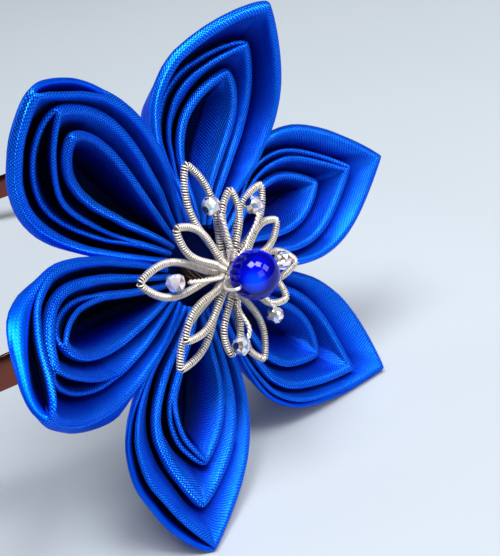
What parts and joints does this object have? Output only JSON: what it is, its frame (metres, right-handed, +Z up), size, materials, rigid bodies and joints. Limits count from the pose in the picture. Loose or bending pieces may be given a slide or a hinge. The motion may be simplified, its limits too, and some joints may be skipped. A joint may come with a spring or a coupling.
{
  "type": "flower headband",
  "caption": "Flat metal headband with a flower of pleated, folded satin petals set to one side, with coiled-wire loops, cut crystals and a round glass bead at its heart.",
  "frame": {"origin": "middle of the surface the headband rests on, under the centre of its box", "axes": "+Z up from the surface; the band lies almost flat, with its crown towards -Y and its legs towards +Y; the flower faces -X and -Y"},
  "size_m": [0.1585, 0.1552, 0.0947],
  "materials": {
    "satin": "royal-blue satin, soft sheen, fine diagonal weave",
    "felt": "plain navy felt",
    "steel": null,
    "coiled_wire": "silver-plated wire wound in a close coil",
    "stem_wire": "thin silver-plated wire, twisted",
    "blue_glass": "clear cobalt glass",
    "crystal": "clear cut crystal with a rainbow coating"
  },
  "bodies": {
    "root": {"headband": "steel", "flower_backing": "felt", "wire_hub": "coiled_wire", "centre_bead": "blue_glass", "bead_wire": "coiled_wire", "petal_top_outer": "satin", "petal_upper_left_outer": "satin", "petal_lower_left_outer": "satin", "petal_bottom_outer": "satin", "petal_lower_right_outer": "satin", "petal_upper_right_outer": "satin", "petal_top_middle": "satin", "petal_upper_left_middle": "satin", "petal_lower_left_middle": "satin", "petal_bottom_middle": "satin", "petal_lower_right_middle": "satin", "petal_upper_right_middle": "satin", "petal_top_inner": "satin", "petal_upper_left_inner": "satin", "petal_lower_left_inner": "satin", "petal_bottom_inner": "satin", "petal_lower_right_inner": "satin", "petal_upper_right_inner": "satin", "wire_loop_outer_1": "coiled_wire", "wire_loop_outer_2": "coiled_wire", "wire_loop_outer_3": "coiled_wire", "wire_loop_outer_4": "coiled_wire", "wire_loop_outer_5": "coiled_wire", "wire_loop_outer_6": "coiled_wire", "wire_loop_inner_1": "coiled_wire", "wire_loop_inner_2": "coiled_wire", "wire_loop_inner_3": "coiled_wire", "wire_loop_inner_4": "coiled_wire", "wire_loop_inner_5": "coiled_wire", "wire_loop_inner_6": "coiled_wire", "crystal_1": "crystal", "crystal_2": "crystal", "crystal_3": "crystal", "crystal_4": "crystal", "crystal_5": "crystal", "crystal_6": "crystal", "crystal_stem_1": "stem_wire", "crystal_stem_2": "stem_wire", "crystal_stem_3": "stem_wire", "crystal_stem_4": "stem_wire", "crystal_stem_5": "stem_wire", "crystal_stem_6": "stem_wire"}
  },
  "joints": []
}
